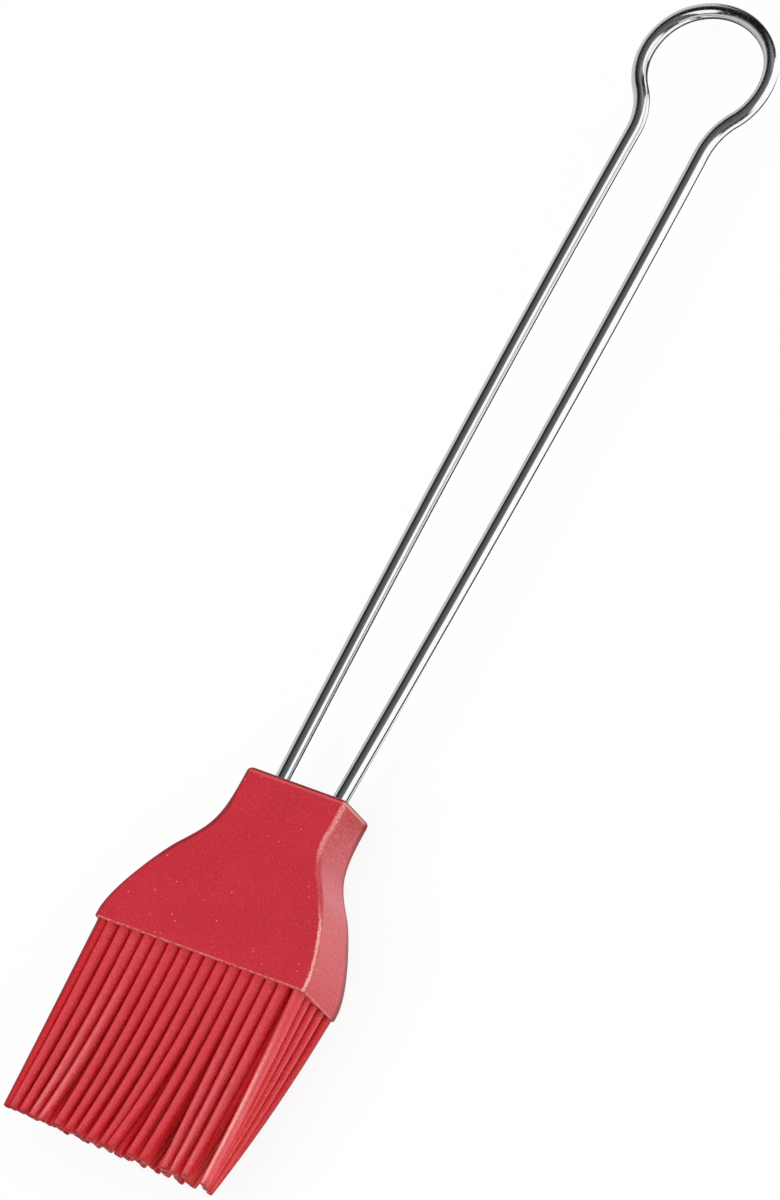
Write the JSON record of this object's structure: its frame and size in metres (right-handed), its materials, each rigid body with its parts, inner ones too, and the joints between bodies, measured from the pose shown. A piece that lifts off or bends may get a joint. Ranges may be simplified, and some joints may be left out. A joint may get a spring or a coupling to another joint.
{
  "type": "pastry brush",
  "caption": "Pastry brush with a flared silicone head, rows of tapered silicone bristles and a hairpin wire handle that ends in a hanging loop.",
  "frame": {"origin": "centre of the brush's length and width, at the height of the head's back face, on which it lies", "axes": "+Y runs up the handle to the hanging loop, +Z is the front face's side, +X is the width"},
  "size_m": [0.0516, 0.2592, 0.0143],
  "materials": {
    "wire": "polished bright",
    "insert": "moulded, plain",
    "silicone": "matte silicone, faintly speckled",
    "bristles": "satin silicone"
  },
  "bodies": {
    "handle_and_head": {"wire_handle": "wire", "head_core": "insert", "silicone_head": "silicone"},
    "bristles_1": {"bristle_row_1": "bristles"},
    "bristles_2": {"bristle_row_2": "bristles"},
    "bristles_3": {"bristle_row_3": "bristles"},
    "bristles_4": {"bristle_row_4": "bristles"},
    "bristles_5": {"bristle_row_5": "bristles"}
  },
  "joints": [
    {"name": "bristle_bend_1", "type": "hinge", "parent": "handle_and_head", "child": "bristles_1", "pos_m": [0, -0.08805, 0.01275], "axis": [1, 0, 0], "range_deg": [-25, 25], "stiffness_Nm_per_rad": 0.02},
    {"name": "bristle_bend_2", "type": "hinge", "parent": "handle_and_head", "child": "bristles_2", "pos_m": [0, -0.08805, 0.00995], "axis": [1, 0, 0], "range_deg": [-25, 25], "stiffness_Nm_per_rad": 0.02},
    {"name": "bristle_bend_3", "type": "hinge", "parent": "handle_and_head", "child": "bristles_3", "pos_m": [0, -0.08805, 0.00715], "axis": [1, 0, 0], "range_deg": [-25, 25], "stiffness_Nm_per_rad": 0.02},
    {"name": "bristle_bend_4", "type": "hinge", "parent": "handle_and_head", "child": "bristles_4", "pos_m": [0, -0.08805, 0.00435], "axis": [1, 0, 0], "range_deg": [-25, 25], "stiffness_Nm_per_rad": 0.02},
    {"name": "bristle_bend_5", "type": "hinge", "parent": "handle_and_head", "child": "bristles_5", "pos_m": [0, -0.08805, 0.00155], "axis": [1, 0, 0], "range_deg": [-25, 25], "stiffness_Nm_per_rad": 0.02}
  ],
  "couplings": [
    {"joint": "bristle_bend_2", "follows": "bristle_bend_1", "ratio": 1},
    {"joint": "bristle_bend_3", "follows": "bristle_bend_1", "ratio": 1},
    {"joint": "bristle_bend_4", "follows": "bristle_bend_1", "ratio": 1},
    {"joint": "bristle_bend_5", "follows": "bristle_bend_1", "ratio": 1}
  ]
}
